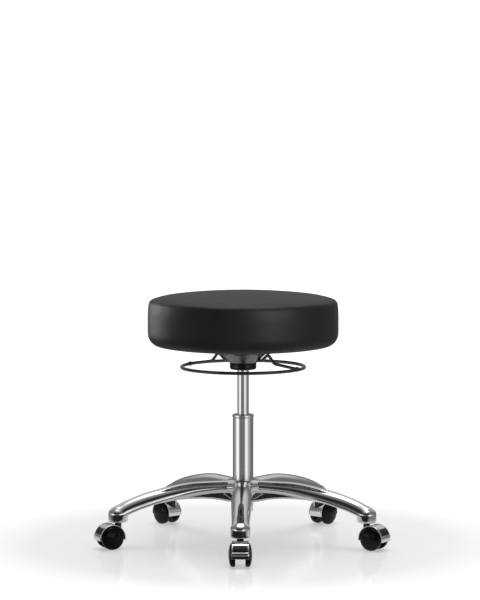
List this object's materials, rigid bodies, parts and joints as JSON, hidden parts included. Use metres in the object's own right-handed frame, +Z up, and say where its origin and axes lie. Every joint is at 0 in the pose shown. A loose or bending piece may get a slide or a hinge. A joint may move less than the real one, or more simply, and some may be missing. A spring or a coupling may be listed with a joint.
{
  "type": "rolling stylist stool",
  "caption": "Round padded rolling stool with a gas-lift column, a ring lever under the seat and a star base on hooded twin-wheel casters.",
  "frame": {"origin": "on the floor under the casters, on the axis of the column", "axes": "+Z up along the column; -Y along one leg of the base"},
  "size_m": [0.7024, 0.6686, 0.602],
  "materials": {
    "vinyl": "smooth black upholstery vinyl, soft sheen",
    "foam": "open cell upholstery foam",
    "plywood": "raw birch plywood",
    "felt": "black non-woven dust cover",
    "zinc_steel": "zinc plated steel",
    "black_steel": "black powder coat",
    "grey_steel": "satin grey metallic",
    "black_gloss_plastic": "gloss black",
    "chrome": "bright chrome",
    "bright_steel": "ground steel",
    "black_plastic": "satin black moulding",
    "black_enamel": "gloss black coating",
    "chromed_aluminium": "chromed casting, mirror bright",
    "chromed_hood": "chromed moulding, mirror bright",
    "black_nylon": "gloss black nylon"
  },
  "bodies": {
    "base": {"star_base": "chromed_aluminium", "stem_sockets": "black_plastic", "caster_stems": "black_steel", "stem_grip_rings": "bright_steel", "column_tube": "chrome", "column_guide_bush": "black_plastic", "column_collar": "chrome", "thrust_washer_lower": "bright_steel"},
    "piston_rod": {"piston_rod": "bright_steel", "piston_head": "black_plastic", "rod_clip": "zinc_steel", "thrust_washer_upper": "bright_steel", "thrust_bearing": "bright_steel"},
    "seat": {"seat_cover": "vinyl", "seat_foam": "foam", "seat_board": "plywood", "dust_cover": "felt", "cover_staples": "zinc_steel", "seat_plate": "black_steel", "seat_plate_bolts": "zinc_steel", "tee_nuts": "zinc_steel", "bell_housing": "grey_steel", "taper_socket": "zinc_steel", "hub_cap": "black_gloss_plastic", "gas_tube": "chrome", "gas_tube_gland": "black_plastic", "gas_valve_body": "zinc_steel"},
    "valve_pin": {"valve_pin": "zinc_steel"},
    "release_yoke": {"release_yoke": "zinc_steel"},
    "lever_ring": {"lever_ring": "black_enamel", "lever_spokes": "black_enamel"},
    "caster_1": {"caster_1_hood": "chromed_hood", "caster_1_core": "black_plastic", "caster_1_axle": "bright_steel"},
    "caster_1_wheel_left": {"caster_1_wheel_left": "black_nylon"},
    "caster_1_wheel_right": {"caster_1_wheel_right": "black_nylon"},
    "caster_2": {"caster_2_hood": "chromed_hood", "caster_2_core": "black_plastic", "caster_2_axle": "bright_steel"},
    "caster_2_wheel_left": {"caster_2_wheel_left": "black_nylon"},
    "caster_2_wheel_right": {"caster_2_wheel_right": "black_nylon"},
    "caster_3": {"caster_3_hood": "chromed_hood", "caster_3_core": "black_plastic", "caster_3_axle": "bright_steel"},
    "caster_3_wheel_left": {"caster_3_wheel_left": "black_nylon"},
    "caster_3_wheel_right": {"caster_3_wheel_right": "black_nylon"},
    "caster_4": {"caster_4_hood": "chromed_hood", "caster_4_core": "black_plastic", "caster_4_axle": "bright_steel"},
    "caster_4_wheel_left": {"caster_4_wheel_left": "black_nylon"},
    "caster_4_wheel_right": {"caster_4_wheel_right": "black_nylon"},
    "caster_5": {"caster_5_hood": "chromed_hood", "caster_5_core": "black_plastic", "caster_5_axle": "bright_steel"},
    "caster_5_wheel_left": {"caster_5_wheel_left": "black_nylon"},
    "caster_5_wheel_right": {"caster_5_wheel_right": "black_nylon"}
  },
  "joints": [
    {"name": "seat_swivel", "type": "hinge", "parent": "base", "child": "piston_rod", "pos_m": [0, 0, 0.0845], "axis": [0, 0, 1], "continuous": true},
    {"name": "seat_lift", "type": "slide", "parent": "piston_rod", "child": "seat", "axis": [0, 0, 1], "range_m": [-0.1, 0]},
    {"name": "lever_tilt", "type": "hinge", "parent": "seat", "child": "release_yoke", "pos_m": [0.06054, -0.02823, 0.45635], "axis": [-0.4226, -0.9063, 0], "range_deg": [0, 2.8], "stiffness_Nm_per_rad": 20, "springref_deg": -3.44},
    {"name": "lever_rock", "type": "hinge", "parent": "release_yoke", "child": "lever_ring", "pos_m": [0, 0, 0.446], "axis": [0.9063, -0.4226, 0], "range_deg": [-4, 4]},
    {"name": "valve_press", "type": "slide", "parent": "seat", "child": "valve_pin", "axis": [0, 0, 1], "range_m": [-0.0035, 0]},
    {"name": "caster_1_swivel", "type": "hinge", "parent": "base", "child": "caster_1", "pos_m": [0, -0.3095, 0.05], "axis": [0, 0, 1], "continuous": true},
    {"name": "caster_1_wheel_left_spin", "type": "hinge", "parent": "caster_1", "child": "caster_1_wheel_left", "pos_m": [0.00044, -0.33049, 0.0275], "axis": [0.9998, 0.0209, 0], "continuous": true},
    {"name": "caster_1_wheel_right_spin", "type": "hinge", "parent": "caster_1", "child": "caster_1_wheel_right", "pos_m": [0.00044, -0.33049, 0.0275], "axis": [0.9998, 0.0209, 0], "continuous": true},
    {"name": "caster_2_swivel", "type": "hinge", "parent": "base", "child": "caster_2", "pos_m": [0.29435, -0.09564, 0.05], "axis": [0, 0, 1], "continuous": true},
    {"name": "caster_2_wheel_left_spin", "type": "hinge", "parent": "caster_2", "child": "caster_2_wheel_left", "pos_m": [0.3122, -0.10671, 0.0275], "axis": [0.527, 0.8499, 0], "continuous": true},
    {"name": "caster_2_wheel_right_spin", "type": "hinge", "parent": "caster_2", "child": "caster_2_wheel_right", "pos_m": [0.3122, -0.10671, 0.0275], "axis": [0.527, 0.8499, 0], "continuous": true},
    {"name": "caster_3_swivel", "type": "hinge", "parent": "base", "child": "caster_3", "pos_m": [0.18192, 0.25039, 0.05], "axis": [0, 0, 1], "continuous": true},
    {"name": "caster_3_wheel_left_spin", "type": "hinge", "parent": "caster_3", "child": "caster_3_wheel_left", "pos_m": [0.19536, 0.26653, 0.0275], "axis": [-0.7683, 0.6401, 0], "continuous": true},
    {"name": "caster_3_wheel_right_spin", "type": "hinge", "parent": "caster_3", "child": "caster_3_wheel_right", "pos_m": [0.19536, 0.26653, 0.0275], "axis": [-0.7683, 0.6401, 0], "continuous": true},
    {"name": "caster_4_swivel", "type": "hinge", "parent": "base", "child": "caster_4", "pos_m": [-0.18192, 0.25039, 0.05], "axis": [0, 0, 1], "continuous": true},
    {"name": "caster_4_wheel_left_spin", "type": "hinge", "parent": "caster_4", "child": "caster_4_wheel_left", "pos_m": [-0.19656, 0.26545, 0.0275], "axis": [-0.7169, -0.6972, 0], "continuous": true},
    {"name": "caster_4_wheel_right_spin", "type": "hinge", "parent": "caster_4", "child": "caster_4_wheel_right", "pos_m": [-0.19656, 0.26545, 0.0275], "axis": [-0.7169, -0.6972, 0], "continuous": true},
    {"name": "caster_5_swivel", "type": "hinge", "parent": "base", "child": "caster_5", "pos_m": [-0.29435, -0.09564, 0.05], "axis": [0, 0, 1], "continuous": true},
    {"name": "caster_5_wheel_left_spin", "type": "hinge", "parent": "caster_5", "child": "caster_5_wheel_left", "pos_m": [-0.31319, -0.10491, 0.0275], "axis": [0.4415, -0.8973, 0], "continuous": true},
    {"name": "caster_5_wheel_right_spin", "type": "hinge", "parent": "caster_5", "child": "caster_5_wheel_right", "pos_m": [-0.31319, -0.10491, 0.0275], "axis": [0.4415, -0.8973, 0], "continuous": true}
  ],
  "couplings": [
    {"joint": "valve_press", "follows": "lever_tilt", "m_per_rad": -0.0672}
  ]
}
